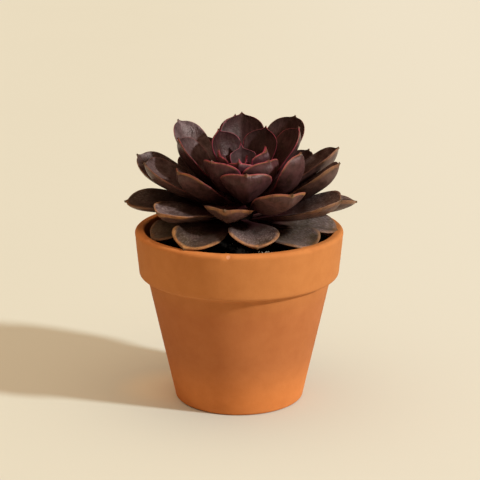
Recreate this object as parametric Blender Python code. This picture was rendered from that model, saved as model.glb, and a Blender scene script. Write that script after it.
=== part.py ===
"""A potted echeveria: a clay pot, its soil, and a rosette of separate fleshy leaves on a short stem.

Units are metres, +Z is up, and the origin is the centre of the pot's base.
An azimuth is counted anticlockwise from +X, seen from above, and the front is -Y.
"""

import math

import bmesh
import bpy
from mathutils import Vector

# Pot
POT_HEIGHT = 0.0886
RIM_RADIUS = 0.0525
RIM_HEIGHT = 0.0237
RIM_FOOT_RADIUS = 0.0506
NECK_RADIUS = 0.0469
BASE_RADIUS = 0.0330
MOUTH_RADIUS = 0.0477
MOUTH_TAPER = 0.0012
RIM_ROUND = 0.0020
FOOT_ROUND = 0.0017
FLOOR_THICKNESS = 0.0060
FLOOR_RADIUS = 0.0294
WALL_THICKNESS = 0.0042
LEDGE_TOP = 0.0020
LEDGE_BOTTOM = -0.0040
DRAIN_RADIUS = 0.0060
POT_SEGMENTS = 48

# Soil, its upper side as shares of its radius and of its mound's height
SOIL_EDGE_HEIGHT = 0.0808
SOIL_CROWN_HEIGHT = 0.0826
SOIL_MOUND = ((1.0, 0.0), (0.82, 0.33), (0.55, 0.67))
STEM_HOLE_DEPTH = 0.0220
GAP = 0.0003

# Stem, which leans towards +X above the soil
STEM_RADIUS = 0.0060
STEM_TOP = 0.1090
STEM_LEAN = 0.0048
STEM_TAPER_START = 0.0980
STEM_TOP_SHARE = 0.50
STEM_FOOT_HEIGHT = 0.0040
STEM_FOOT_SHARE = 0.70
STEM_SEGMENTS = 16
STEM_HEIGHTS = (SOIL_CROWN_HEIGHT, 0.0870, 0.0900, 0.0940, 0.0980, 0.1020, 0.1050, 0.1070)

# Leaf blade, as shares of the leaf's own width or length
WIDEST_AT = 0.72
BLADE_END = 0.970
YOUNG_POINT = 0.20
FULL_WIDTH = 0.0200
BASE_WIDTH = 0.18
POINT_WIDTH = 0.10
THICKNESS = 0.15
LEAST_THICKNESS = 0.0011
FLAT_CUP = 0.25
STEEP_CUP = 0.45
CUP_POWER = 1.7
SEAT_GAP = 0.0004
LEAF_STATIONS = (0.0, 0.18, 0.40, 0.60, 0.75, 0.86, 0.93, 0.968)
UPPER_PLACES = (-0.96, -0.5, 0.0, 0.5, 0.96)
LOWER_PLACES = (0.9, 0.48, 0.0, -0.48, -0.9)

# Leaves from the innermost to the outermost: azimuth in degrees, height of the seat, reach of the tip
# from the axis, height of the tip, width, curl, and roll in degrees, which lifts the anticlockwise edge
LEAVES = (
    (107, 0.1071, 0.0114, 0.1304, 0.0136, 0.10, 0),
    (254, 0.1075, 0.0160, 0.1277, 0.0135, 0.10, 0),
    (326, 0.1075, 0.0105, 0.1318, 0.0145, 0.14, 0),
    (186, 0.1075, 0.0147, 0.1291, 0.0125, 0.10, 0),
    (56, 0.1065, 0.0177, 0.1377, 0.0200, 0.12, 0),
    (139, 0.1055, 0.0190, 0.1353, 0.0220, 0.12, 0),
    (305, 0.1050, 0.0186, 0.1264, 0.0224, 0.18, 8),
    (230, 0.1056, 0.0253, 0.1272, 0.0232, 0.14, 0),
    (94, 0.1045, 0.0290, 0.1429, 0.0225, 0.13, 0),
    (26, 0.1045, 0.0308, 0.1370, 0.0205, 0.08, 0),
    (271, 0.1035, 0.0300, 0.1236, 0.0250, 0.16, 0),
    (172, 0.1040, 0.0349, 0.1331, 0.0235, 0.10, -4),
    (333, 0.1030, 0.0326, 0.1305, 0.0200, 0.14, 4),
    (51, 0.1020, 0.0417, 0.1390, 0.0240, 0.12, 0),
    (140, 0.1025, 0.0454, 0.1376, 0.0232, 0.14, 0),
    (98, 0.1020, 0.0400, 0.1388, 0.0210, 0.12, 0),
    (213, 0.1020, 0.0387, 0.1223, 0.0225, 0.10, 2),
    (122, 0.0995, 0.0470, 0.1270, 0.0220, 0.14, 0),
    (298, 0.1005, 0.0500, 0.1150, 0.0240, 0.08, -3),
    (42, 0.0970, 0.0480, 0.1210, 0.0200, 0.12, 0),
    (186, 0.0995, 0.0504, 0.1217, 0.0250, 0.05, -12),
    (125, 0.0970, 0.0520, 0.1165, 0.0215, 0.10, 0),
    (15, 0.0995, 0.0496, 0.1266, 0.0230, 0.04, 2),
    (75, 0.0980, 0.0480, 0.1105, 0.0230, 0.04, 0),
    (256, 0.0990, 0.0410, 0.1080, 0.0250, 0.12, 0),
    (163, 0.0975, 0.0563, 0.1227, 0.0250, 0.10, -16),
    (346, 0.0973, 0.0486, 0.1244, 0.0225, 0.12, -8),
    (57, 0.0945, 0.0520, 0.1025, 0.0230, 0.04, 0),
    (100, 0.0952, 0.0520, 0.1035, 0.0220, 0.02, 0),
    (215, 0.0965, 0.0509, 0.1033, 0.0250, -0.02, -6),
    (331, 0.0940, 0.0563, 0.1087, 0.0250, 0.03, 12),
    (174, 0.0945, 0.0597, 0.1011, 0.0250, -0.06, -10),
    (6, 0.0928, 0.0594, 0.1010, 0.0250, -0.05, -6),
    (137, 0.0935, 0.0540, 0.0980, 0.0240, -0.04, 0),
    (279, 0.0940, 0.0460, 0.0908, 0.0250, -0.08, 0),
    (79, 0.0922, 0.0460, 0.0893, 0.0220, -0.05, 0),
    (237, 0.0930, 0.0510, 0.0903, 0.0250, -0.06, -8),
    (323, 0.0885, 0.0467, 0.0876, 0.0235, -0.02, -4),
    (200, 0.0910, 0.0472, 0.0884, 0.0230, -0.06, -6),
    (354, 0.0898, 0.0498, 0.0900, 0.0210, -0.08, 0),
    (32, 0.0900, 0.0455, 0.0885, 0.0225, -0.08, 0),
    (116, 0.0895, 0.0465, 0.0883, 0.0225, -0.06, 0),
    (160, 0.0905, 0.0460, 0.0880, 0.0230, -0.06, 0),
)

# Youngest leaves of the heart, in the same order of values
HEART_LEAVES = (
    (5, 0.1110, 0.0024, 0.1252, 0.0046, 0.16, 0),
    (145, 0.1110, 0.0016, 0.1255, 0.0042, 0.16, 0),
    (280, 0.1105, 0.0028, 0.1222, 0.0052, 0.16, 0),
    (58, 0.1105, 0.0034, 0.1232, 0.0056, 0.16, 0),
    (195, 0.1105, 0.0036, 0.1215, 0.0056, 0.16, 0),
)

# Core of the heart: radius and height of each ring
HEART_CORE = ((0.0016, 0.1093), (0.0028, 0.1108), (0.0030, 0.1140), (0.0022, 0.1170), (0.0010, 0.1190))
HEART_TOP = 0.1196
HEART_SEGMENTS = 12
HEART_SEAT = 0.0004


def make_material(name, color, roughness):
    material = bpy.data.materials.new(name)
    material.use_nodes = True
    shader = material.node_tree.nodes["Principled BSDF"]
    shader.inputs["Base Color"].default_value = (*color, 1.0)
    shader.inputs["Roughness"].default_value = roughness
    shader.inputs["Metallic"].default_value = 0.0
    return material


def clay_material():
    return make_material("fired_clay", (0.60, 0.24, 0.08), 0.85)


def soil_material():
    return make_material("potting_soil", (0.012, 0.008, 0.006), 0.95)


def stem_material():
    return make_material("stem_bark", (0.10, 0.07, 0.04), 0.80)


def leaf_material():
    return make_material("leaf_skin", (0.055, 0.025, 0.028), 0.40)


def add_object(name, shape, material, sharp_degrees):
    """Turns a bmesh into an object, smooth but for its edges sharper than the given angle."""
    mesh = bpy.data.meshes.new(name)
    shape.to_mesh(mesh)
    shape.free()
    mesh.materials.append(material)
    mesh.shade_smooth()
    mesh.set_sharp_from_angle(angle=math.radians(sharp_degrees))
    piece = bpy.data.objects.new(name, mesh)
    bpy.context.scene.collection.objects.link(piece)
    return piece


def arc(center_r, center_z, radius, start, end, steps):
    """Points of a round corner in the (r, z) plane, angles in degrees."""
    points = []
    for step in range(steps + 1):
        angle = math.radians(start + (end - start) * step / steps)
        points.append((center_r + radius * math.cos(angle), center_z + radius * math.sin(angle)))
    return points


def turned(profile, segments):
    """Spins a closed (r, z) outline about Z into a ring-like solid."""
    shape = bmesh.new()
    rings = []
    for segment in range(segments):
        angle = 2 * math.pi * segment / segments
        ring = [shape.verts.new((r * math.cos(angle), r * math.sin(angle), z)) for r, z in profile]
        rings.append(ring)
    for segment in range(segments):
        here = rings[segment]
        there = rings[(segment + 1) % segments]
        for i in range(len(profile)):
            j = (i + 1) % len(profile)
            shape.faces.new((here[i], here[j], there[j], there[i]))
    bmesh.ops.recalc_face_normals(shape, faces=shape.faces)
    return shape


def inside_outline(clearance):
    """The pot's inside from the mouth to the floor, drawn in by a clearance."""
    rim_foot = POT_HEIGHT - RIM_HEIGHT
    return [
        (MOUTH_RADIUS - MOUTH_TAPER - clearance, rim_foot + LEDGE_TOP),
        (NECK_RADIUS - WALL_THICKNESS - clearance, rim_foot + LEDGE_BOTTOM),
        (FLOOR_RADIUS - 2 * clearance, FLOOR_THICKNESS + clearance),
    ]


def pot_outline():
    """The pot's wall in section, from the drain hole round the outside and back down the inside."""
    rim_foot = POT_HEIGHT - RIM_HEIGHT
    points = [(DRAIN_RADIUS, 0.0)]
    points += arc(BASE_RADIUS - FOOT_ROUND, FOOT_ROUND, FOOT_ROUND, -90, -12, 3)
    points.append((NECK_RADIUS, rim_foot))
    points += arc(RIM_FOOT_RADIUS - RIM_ROUND, rim_foot + RIM_ROUND, RIM_ROUND, -80, -5, 3)
    points += arc(RIM_RADIUS - RIM_ROUND, POT_HEIGHT - RIM_ROUND, RIM_ROUND, 5, 90, 3)
    points += arc(MOUTH_RADIUS + RIM_ROUND / 2, POT_HEIGHT - RIM_ROUND / 2, RIM_ROUND / 2, 90, 180, 2)
    points += inside_outline(0.0)
    points.append((DRAIN_RADIUS, FLOOR_THICKNESS))
    return points


def build_pot():
    return add_object("pot", turned(pot_outline(), POT_SEGMENTS), clay_material(), 40)


def soil_outline():
    """Soil that fills the pot's inside, a little mounded, with the plain hole that the stem stands in."""
    hole = STEM_RADIUS + GAP
    hole_floor = SOIL_CROWN_HEIGHT - STEM_HOLE_DEPTH
    inside = inside_outline(GAP)
    narrow, low = inside[0]
    edge = narrow + MOUTH_TAPER * (SOIL_EDGE_HEIGHT - low) / (POT_HEIGHT - low)
    points = [(0.0, FLOOR_THICKNESS + GAP)]
    points += reversed(inside)
    for share, rise in SOIL_MOUND:
        points.append((edge * share, SOIL_EDGE_HEIGHT + (SOIL_CROWN_HEIGHT - SOIL_EDGE_HEIGHT) * rise))
    points += [(hole, SOIL_CROWN_HEIGHT), (hole, hole_floor), (0.0, hole_floor)]
    return points


def build_soil():
    outline = soil_outline()
    shape = bmesh.new()
    rings = []
    for r, z in outline:
        if r == 0.0:
            rings.append([shape.verts.new((0.0, 0.0, z))])
            continue
        ring = []
        for segment in range(POT_SEGMENTS):
            angle = 2 * math.pi * segment / POT_SEGMENTS
            ring.append(shape.verts.new((r * math.cos(angle), r * math.sin(angle), z)))
        rings.append(ring)
    bridge_rings(shape, rings)
    return add_object("soil", shape, soil_material(), 40)


def bridge_rings(shape, rings):
    """Joins each ring of vertices to the next, where a ring of one vertex is a pole."""
    for here, there in zip(rings, rings[1:]):
        count = max(len(here), len(there))
        for i in range(count):
            j = (i + 1) % count
            if len(here) == 1:
                shape.faces.new((here[0], there[j], there[i]))
            elif len(there) == 1:
                shape.faces.new((here[i], here[j], there[0]))
            else:
                shape.faces.new((here[i], here[j], there[j], there[i]))
    bmesh.ops.recalc_face_normals(shape, faces=shape.faces)


def axis_x(z):
    """How far the stem's axis has leaned towards +X at this height."""
    rise = max(0.0, z - SOIL_CROWN_HEIGHT) / (STEM_TOP - SOIL_CROWN_HEIGHT)
    return STEM_LEAN * rise**2


def stem_radius(z):
    """The stem is even up to the rosette, then tapers to the growing tip."""
    taper = max(0.0, (z - STEM_TAPER_START) / (STEM_TOP - STEM_TAPER_START))
    return STEM_RADIUS * (1.0 - (1.0 - STEM_TOP_SHARE) * taper**1.5)


def stem_ring(shape, z, radius):
    ring = []
    for segment in range(STEM_SEGMENTS):
        angle = 2 * math.pi * segment / STEM_SEGMENTS
        ring.append(shape.verts.new((axis_x(z) + radius * math.cos(angle), radius * math.sin(angle), z)))
    return ring


def build_stem():
    """The stem, from its tapered foot in the soil up to the tip that carries the heart."""
    low = SOIL_CROWN_HEIGHT - STEM_HOLE_DEPTH + GAP
    shape = bmesh.new()
    rings = [[shape.verts.new((0.0, 0.0, low))]]
    rings.append(stem_ring(shape, low + STEM_FOOT_HEIGHT, STEM_RADIUS * STEM_FOOT_SHARE))
    for z in STEM_HEIGHTS:
        rings.append(stem_ring(shape, z, stem_radius(z)))
    rings.append([shape.verts.new((axis_x(STEM_TOP), 0.0, STEM_TOP))])
    bridge_rings(shape, rings)
    return add_object("stem", shape, stem_material(), 40)


def half_width(s, width):
    """The blade is widest well past its middle and ends round with a fine point, longer on a young leaf."""
    youth = max(0.0, 1 - width / FULL_WIDTH)
    if s < WIDEST_AT:
        share = BASE_WIDTH + (1 - BASE_WIDTH) * math.sin(math.pi / 2 * s / WIDEST_AT) ** 1.8
        return width / 2 * share
    blade_end = BLADE_END - YOUNG_POINT * youth
    past = min(1.0, (s - WIDEST_AT) / (blade_end - WIDEST_AT))
    round_part = (1 - past**2.6) ** (0.5 + 1.5 * youth)
    point_part = POINT_WIDTH * min(1.0, (1 - s) / (1 - blade_end))
    return width / 2 * max(round_part, point_part)


def leaf_thickness(s, width):
    """Fleshy in the middle, thinner at the seat and towards the tip."""
    body = 0.36 + 0.64 * math.sin(math.pi / 2 * min(1.0, s / 0.55)) ** 1.5
    end = max(0.0, 1 - max(0.0, (s - WIDEST_AT) / (1 - WIDEST_AT)) ** 2.0) ** 0.6
    return max(LEAST_THICKNESS, THICKNESS * width * body * end)


def leaf_section(s, width, cup_share, upper_places, lower_places):
    """Points of the blade's cross-section as (sideways, up), round from one edge over the top and back."""
    half = half_width(s, width)
    thick = leaf_thickness(s, width)
    cup = cup_share * half
    points = [(-half, cup - 0.25 * LEAST_THICKNESS)]
    points += [(half * v, cup * abs(v) ** CUP_POWER) for v in upper_places]
    points.append((half, cup - 0.25 * LEAST_THICKNESS))
    for v in lower_places:
        belly = (1 - abs(v) ** 1.6) ** 0.7
        points.append((half * v, cup * abs(v) ** CUP_POWER - thick * belly))
    return points


def leaf_spine(azimuth, reach, height, curl, seat_z, seat_reach):
    """Start, bend and end points of a leaf's middle line, and the direction across it."""
    out = Vector((math.cos(azimuth), math.sin(azimuth), 0.0))
    axis = Vector((axis_x(seat_z), 0.0, 0.0))
    seat = axis + out * seat_reach + Vector((0.0, 0.0, seat_z))
    tip = axis + out * reach + Vector((0.0, 0.0, height))
    chord = tip - seat
    side = Vector((-out.y, out.x, 0.0))
    down = side.cross(chord).normalized()
    bend = seat + chord * 0.5 + down * (curl * chord.length)
    return seat, bend, tip, side


def seat_reach_on_stem(row):
    """Distance from the axis at which a leaf's seat clears the stem by the gap."""
    return stem_radius(row[1]) + SEAT_GAP


def cup_of(rise):
    """How far a blade's edges are raised, as a share of its half width: more on a steep leaf."""
    return FLAT_CUP + (STEEP_CUP - FLAT_CUP) * rise


def build_leaf(name, row, seat_reach, material):
    azimuth, seat_z, reach, height, width, curl, roll = row
    seat, bend, tip, side = leaf_spine(math.radians(azimuth), reach, height, curl, seat_z, seat_reach)
    cup_share = cup_of(max(0.0, (tip - seat).normalized().z))
    shape = bmesh.new()
    rings = []
    for s in LEAF_STATIONS:
        center = seat * (1 - s) ** 2 + bend * (2 * s * (1 - s)) + tip * s**2
        along = ((bend - seat) * (1 - s) + (tip - bend) * s).normalized()
        up = along.cross(side)
        turn = math.radians(roll) * min(1.0, 2 * s)
        across = side * math.cos(turn) + up * math.sin(turn)
        over = up * math.cos(turn) - side * math.sin(turn)
        section = leaf_section(s, width, cup_share, UPPER_PLACES, LOWER_PLACES)
        rings.append([shape.verts.new(center + across * x + over * z) for x, z in section])
    shape.faces.new(rings[0])
    rings.append([shape.verts.new(tip)])
    bridge_rings(shape, rings)
    return add_object(name, shape, material, 60)


def build_leaves(material):
    for number, row in enumerate(LEAVES, start=1):
        build_leaf(f"leaf_{number:02d}", row, seat_reach_on_stem(row), material)


def join_to(body, pieces):
    """Makes one solid of a body and the pieces that grow from it."""
    group = bpy.data.collections.new("pieces")
    bpy.context.scene.collection.children.link(group)
    for piece in pieces:
        bpy.context.scene.collection.objects.unlink(piece)
        group.objects.link(piece)
    join = body.modifiers.new("join", "BOOLEAN")
    join.operation = "UNION"
    join.operand_type = "COLLECTION"
    join.collection = group
    join.solver = "EXACT"
    depsgraph = bpy.context.evaluated_depsgraph_get()
    joined = bpy.data.meshes.new_from_object(body.evaluated_get(depsgraph))
    body.modifiers.clear()
    body.data = joined
    for piece in pieces:
        bpy.data.objects.remove(piece, do_unlink=True)
    bpy.data.collections.remove(group)


def build_heart(material):
    """The growing tip: a small bud, with the youngest leaves fused to it."""
    center = axis_x(STEM_TOP)
    shape = bmesh.new()
    rings = [[shape.verts.new((center, 0.0, HEART_CORE[0][1]))]]
    for radius, z in HEART_CORE:
        ring = []
        for segment in range(HEART_SEGMENTS):
            angle = 2 * math.pi * segment / HEART_SEGMENTS
            ring.append(shape.verts.new((center + radius * math.cos(angle), radius * math.sin(angle), z)))
        rings.append(ring)
    rings.append([shape.verts.new((center, 0.0, HEART_TOP))])
    bridge_rings(shape, rings)
    heart = add_object("heart", shape, material, 60)
    young = []
    for number, row in enumerate(HEART_LEAVES, start=1):
        young.append(build_leaf(f"young_{number}", row, HEART_SEAT, material))
    join_to(heart, young)


def clear_scene():
    for piece in list(bpy.data.objects):
        bpy.data.objects.remove(piece, do_unlink=True)


clear_scene()
build_pot()
build_soil()
build_stem()
leaf_skin = leaf_material()
build_leaves(leaf_skin)
build_heart(leaf_skin)
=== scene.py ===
import math
import bmesh
import bpy
import numpy as np
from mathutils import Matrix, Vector, noise


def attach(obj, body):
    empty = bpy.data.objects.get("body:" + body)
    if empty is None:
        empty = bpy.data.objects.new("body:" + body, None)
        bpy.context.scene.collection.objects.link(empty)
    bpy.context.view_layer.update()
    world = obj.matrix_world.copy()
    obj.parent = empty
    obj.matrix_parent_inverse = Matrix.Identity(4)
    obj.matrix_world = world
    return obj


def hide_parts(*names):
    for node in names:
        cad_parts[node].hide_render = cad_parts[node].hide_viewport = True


# Looks of a potted echeveria: finer leaves, pot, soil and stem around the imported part, with their materials.
# Everything is in metres in the part's own frame: +Z up, origin at the centre of the pot's base, front at -Y.
# An azimuth is counted anticlockwise from +X, seen from above.

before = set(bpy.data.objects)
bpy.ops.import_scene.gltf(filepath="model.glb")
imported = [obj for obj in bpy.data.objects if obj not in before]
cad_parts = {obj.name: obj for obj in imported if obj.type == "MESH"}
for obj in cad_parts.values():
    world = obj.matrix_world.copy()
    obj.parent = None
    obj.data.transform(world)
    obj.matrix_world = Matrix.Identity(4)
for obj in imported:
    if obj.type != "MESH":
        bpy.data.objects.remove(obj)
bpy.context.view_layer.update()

MM = 0.001

# Pot
POT_HEIGHT = 0.0886
RIM_RADIUS = 0.0525
RIM_HEIGHT = 0.0237
RIM_FOOT_RADIUS = 0.0506
NECK_RADIUS = 0.0469
BASE_RADIUS = 0.0330
MOUTH_RADIUS = 0.0477
MOUTH_TAPER = 0.0012
RIM_ROUND = 0.0020
FOOT_ROUND = 0.0017
FLOOR_THICKNESS = 0.0060
FLOOR_RADIUS = 0.0294
WALL_THICKNESS = 0.0042
LEDGE_TOP = 0.0020
LEDGE_BOTTOM = -0.0040
DRAIN_RADIUS = 0.0060
POT_SEGMENTS = 256
POT_STEP = 0.0011
POT_UNEVENNESS = 0.00012
NECK_ROUND = 0.0008

# Faint marks of turning on the pot, which fade in above its flat foot, and one groove under its lip
TURNING_DEPTH = 0.00003
TURNING_PITCH = 0.0011
FOOT_FLAT = 0.0005
FOOT_FADE = 0.002
GROOVE_HEIGHT = 0.0846
GROOVE_WIDTH = 0.0004
GROOVE_DEPTH = 0.00007

# A pale fresh chip on the front of the rim, and how far it reaches from its middle
CHIP_PLACE = (-0.0051, -0.0512, 0.0876)
CHIP_REACH = 0.0013

# Small nicks in the rim: azimuth in degrees, height, size and depth
NICKS = (
    (-96.5, 0.0876, 0.0013, 0.00100),
    (-49.0, 0.0882, 0.0012, 0.00080),
    (-128.0, 0.0868, 0.0007, 0.00025),
)

# Soil
SOIL_EDGE_HEIGHT = 0.0808
SOIL_CROWN_HEIGHT = 0.0826
SOIL_SINK = 0.0006
SOIL_LUMP = 0.0007
SOIL_EDGE_GAP = 0.0008
SOIL_SEGMENTS = 220
SOIL_RINGS = 60
STEM_HOLE_DEPTH = 0.0220
GAP = 0.0003
POLE_RADIUS = 0.0002

# Crumbs and pale grains lie all over the soil, and pale fibres lie just inside the front of the rim:
# distances from the axis, azimuths in radians, and height above the soil
CRUMBS = 1100
GRAINS = 26
FIBRES = 11
FULL_TURN = (0.0, 2 * math.pi)
SOIL_BED = (0.008, 0.0455)
FIBRE_BED = (0.0460, 0.0466)
FIBRE_AZIMUTHS = (-1.39, -1.20)
FIBRE_LIFT = 0.0079

# Stem, which leans towards +X above the soil
STEM_RADIUS = 0.0060
STEM_TOP = 0.1090
STEM_LEAN = 0.0048
STEM_TAPER_START = 0.0980
STEM_TOP_SHARE = 0.50
STEM_LAST_RING = 0.1085
STEM_SEGMENTS = 48
STEM_RINGS = 60
ROOT_POINT = 0.004
ROOT_SHARE = 0.7
SCAR_DEPTH = 0.00018
SCAR_PITCH = 0.0004

# Outline of a leaf blade, as shares of its length and width. A narrow leaf counts as young, and leaves get
# rounder up to the one numbered ROUND_BY
WIDEST_AT = 0.72
BLADE_END = 0.970
YOUNG_POINT = 0.20
FULL_WIDTH = 0.0200
BASE_WIDTH = 0.18
POINT_WIDTH = 0.17
YOUNG_SPIKE = 0.035
YOUNG_ARCH = 2.0
OLD_ARCH = 2.6
YOUNG_CLOSING = 0.66
OLD_CLOSING = 0.50
ROUND_BY = 14

# How far the end of a blade turns up, and how far its margin rounds off, at ages from 0 to 1
LIFT_AGES = (0.0, 0.5, 0.7, 0.8, 1.0)
TIP_LIFTS = (0.0008, 0.0022, 0.0018, -0.0012, -0.0018)
TIP_LIFT_START = 0.78
ROUND_AGES = (0.0, 0.5, 0.7, 1.0)
EDGE_ROUNDS = (0.00028, 0.00035, 0.0008, 0.0013)
EDGE_REACH = 2.2

# Section of a leaf blade
THICKNESS = 0.15
LEAST_THICKNESS = 0.0011
FLAT_CUP = 0.25
STEEP_CUP = 0.45
CUP_POWER = 1.7
SEAT_GAP = 0.0004
LEAF_KEEL = 0.0010
LEAF_GROOVE = 0.0007
RIDGE_WIDTH = 0.30
RIDGE_FULL_AT = 0.008
RIPPLE = 0.00016
SWAY = 0.00018

# Mesh of a leaf: rings closer together towards the tip, and points round each
LEAF_STATIONS = 60
LEAF_ACROSS = 26
CROWDING = 1.5

# Values at the vertices: margin in mm at the seat, how the tip's distance counts as margin, and how the
# pattern on the blade is drawn out along it and set apart from leaf to leaf
SEAT_MARGIN = 5.0
END_MARGIN = 0.8
PATTERN_STRETCH = 0.25
PATTERN_APART = 50.0

# Leaves from the innermost to the outermost: azimuth in degrees, height of the seat, reach of the tip
# from the axis, height of the tip, width, curl, and roll in degrees, which lifts the anticlockwise edge
LEAVES = (
    (107, 0.1071, 0.0114, 0.1304, 0.0136, 0.10, 0),
    (254, 0.1075, 0.0160, 0.1277, 0.0135, 0.10, 0),
    (326, 0.1075, 0.0105, 0.1318, 0.0145, 0.14, 0),
    (186, 0.1075, 0.0147, 0.1291, 0.0125, 0.10, 0),
    (56, 0.1065, 0.0177, 0.1377, 0.0200, 0.12, 0),
    (139, 0.1055, 0.0192, 0.1366, 0.0214, 0.12, 0),
    (307, 0.1050, 0.0192, 0.1268, 0.0244, 0.18, 8),
    (227, 0.1056, 0.0258, 0.1268, 0.0232, 0.14, 0),
    (94, 0.1045, 0.0290, 0.1422, 0.0225, 0.13, 0),
    (26, 0.1045, 0.0308, 0.1370, 0.0205, 0.08, 0),
    (271, 0.1035, 0.0300, 0.1224, 0.0250, 0.16, 0),
    (172, 0.1040, 0.0349, 0.1331, 0.0235, 0.10, -4),
    (333, 0.1010, 0.0322, 0.1303, 0.0212, 0.28, 2),
    (51, 0.1020, 0.0430, 0.1390, 0.0240, 0.12, 0),
    (140, 0.1025, 0.0457, 0.1376, 0.0224, 0.14, 0),
    (97, 0.1020, 0.0395, 0.1388, 0.0190, 0.12, 0),
    (212, 0.1020, 0.0394, 0.1212, 0.0225, 0.10, -3),
    (122, 0.0995, 0.0470, 0.1270, 0.0220, 0.14, 0),
    (298, 0.1005, 0.0500, 0.1150, 0.0240, 0.08, -3),
    (42, 0.0970, 0.0480, 0.1210, 0.0200, 0.12, 0),
    (186, 0.0995, 0.0504, 0.1217, 0.0250, 0.05, -12),
    (125, 0.0970, 0.0520, 0.1165, 0.0215, 0.10, 0),
    (15, 0.0995, 0.0512, 0.1256, 0.0240, 0.04, -7),
    (75, 0.0980, 0.0480, 0.1105, 0.0230, 0.04, 0),
    (256, 0.1024, 0.0412, 0.1062, 0.0246, 0.12, -2),
    (163, 0.0975, 0.0568, 0.1216, 0.0240, 0.10, -14),
    (346, 0.0973, 0.0504, 0.1236, 0.0225, 0.10, 0),
    (57, 0.0945, 0.0520, 0.1025, 0.0230, 0.04, 0),
    (100, 0.0952, 0.0520, 0.1035, 0.0220, 0.02, 0),
    (215, 0.0965, 0.0509, 0.1023, 0.0250, -0.02, -6),
    (331, 0.0940, 0.0563, 0.1087, 0.0250, 0.03, 12),
    (174, 0.0945, 0.0594, 0.1003, 0.0250, -0.06, -10),
    (6, 0.0928, 0.0593, 0.1008, 0.0250, -0.05, -6),
    (137, 0.0935, 0.0540, 0.0980, 0.0240, -0.04, 0),
    (280, 0.0940, 0.0462, 0.0916, 0.0248, -0.08, -3),
    (79, 0.0922, 0.0458, 0.0852, 0.0240, -0.05, 0),
    (238, 0.0930, 0.0516, 0.0908, 0.0248, -0.06, -12),
    (321, 0.0885, 0.0474, 0.0880, 0.0255, -0.02, 6),
    (200, 0.0910, 0.0478, 0.0884, 0.0235, -0.06, -8),
    (353, 0.0898, 0.0500, 0.0900, 0.0210, -0.08, 12),
    (32, 0.0900, 0.0455, 0.0885, 0.0225, -0.08, 0),
    (116, 0.0895, 0.0465, 0.0883, 0.0225, -0.06, 0),
    (160, 0.0905, 0.0460, 0.0880, 0.0230, -0.06, 0),
)

# How much ochre the worn edge of a leaf shows, and how much pale bloom its upper face, by leaf number; on the
# sun-facing inner leaves the pale patches are also painted sheen
OCHRE_EDGES = {17: 0.7, 19: 0.7, 25: 0.6, 30: 1.0, 33: 0.5, 35: 1.0, 37: 1.0, 38: 0.5}
USUAL_OCHRE = 0.35
INNER_BLOOM_AND_SHEEN = {1: 0.22, 6: 0.0, 9: 0.05, 12: 0.5, 15: 0.8, 21: 0.4, 23: 0.4}
OUTER_BLOOM = {26: 0.25, 27: 0.3, 30: 0.7, 31: 0.6, 33: 0.8, 35: 0.6, 37: 0.1, 38: 0.6, 40: 0.8}
BLOOM_AND_SHEEN = INNER_BLOOM_AND_SHEEN | OUTER_BLOOM
USUAL_BLOOM = 0.12

# Youngest leaves of the heart, in the same order of values
HEART_LEAVES = (
    (5, 0.1110, 0.0024, 0.1252, 0.0046, 0.16, 0),
    (145, 0.1110, 0.0016, 0.1255, 0.0042, 0.16, 0),
    (280, 0.1105, 0.0028, 0.1212, 0.0052, 0.16, 0),
    (58, 0.1105, 0.0034, 0.1232, 0.0056, 0.16, 0),
    (195, 0.1105, 0.0036, 0.1215, 0.0056, 0.16, 0),
)

# Core of the heart: radius and height of each ring
HEART_CORE = ((0.0016, 0.1093), (0.0028, 0.1108), (0.0030, 0.1140), (0.0022, 0.1170), (0.0010, 0.1190))
HEART_TOP = 0.1196
HEART_SEGMENTS = 32
HEART_SEAT = 0.0004
HEART_SEED = 60
HEART_MARGIN = 3.0
HEART_TIPWARD = 0.3

# Clay: four tones, the painted light and shade that each height multiplies them by (painted bounce light at
# the foot, painted shade on the wall, painted light on the rim), and the chip
CLAY_DARK = (0.50, 0.168, 0.044)
CLAY_LIGHT = (0.57, 0.202, 0.056)
CLAY_CLOUD = (0.60, 0.225, 0.066)
CLAY_PORE = (0.30, 0.11, 0.035)
FOOT_PAINTED_BOUNCE = (1.24, 1.12, 1.00)
WALL_PAINTED_SHADE = (0.91, 0.83, 0.88)
RIM_PAINTED_LIGHT = (1.04, 1.05, 1.02)
CHIP_COLOR = (0.78, 0.36, 0.19)

# Soil and stem, each from dark to light; the stem's bark is kept near black, partly its own colour and partly
# painted shade under the leaves
SOIL_COLORS = ((0.006, 0.004, 0.003), (0.022, 0.014, 0.009))
SOIL_FIBRE_COLOR = (0.09, 0.06, 0.04)
GRAIN_COLORS = ((0.30, 0.27, 0.22), (0.62, 0.58, 0.50))
BARK_AND_SHADE_COLORS = ((0.006, 0.003, 0.002), (0.022, 0.012, 0.008))

# Leaf skin
YOUNG_TOP = (0.042, 0.012, 0.015)
OLD_TOP = (0.036, 0.022, 0.013)
OUTERMOST_TOP = (0.095, 0.068, 0.038)
OUTER_TIP = (0.115, 0.080, 0.048)
YOUNG_BACK = (0.070, 0.017, 0.025)
OLD_BACK = (0.146, 0.080, 0.054)
MOTTLE_COLOR = (0.020, 0.010, 0.006)
# Dark crimson at the seat: partly the leaf's own colour at its base, partly painted shade deep in the rosette
STREAK_COLOR = (0.13, 0.062, 0.060)
SEAT_CRIMSON_AND_SHADE = (0.060, 0.008, 0.013)
DUST_COLOR = (0.40, 0.34, 0.30)
OCHRE_COLORS = ((0.36, 0.135, 0.045), (0.46, 0.22, 0.075))
YOUNG_RIM = (0.42, 0.046, 0.100)
OLD_RIM = (0.29, 0.135, 0.060)
TIP_COLOR = (0.085, 0.055, 0.026)
# Pale bloom, which on the sun-facing inner leaves also stands for painted sheen
BLOOM_AND_SHEEN_COLOR = (0.27, 0.180, 0.185)
SPECK_COLOR = (0.36, 0.30, 0.26)
SHEEN_TINT = (1.0, 0.74, 0.70, 1.0)

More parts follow.
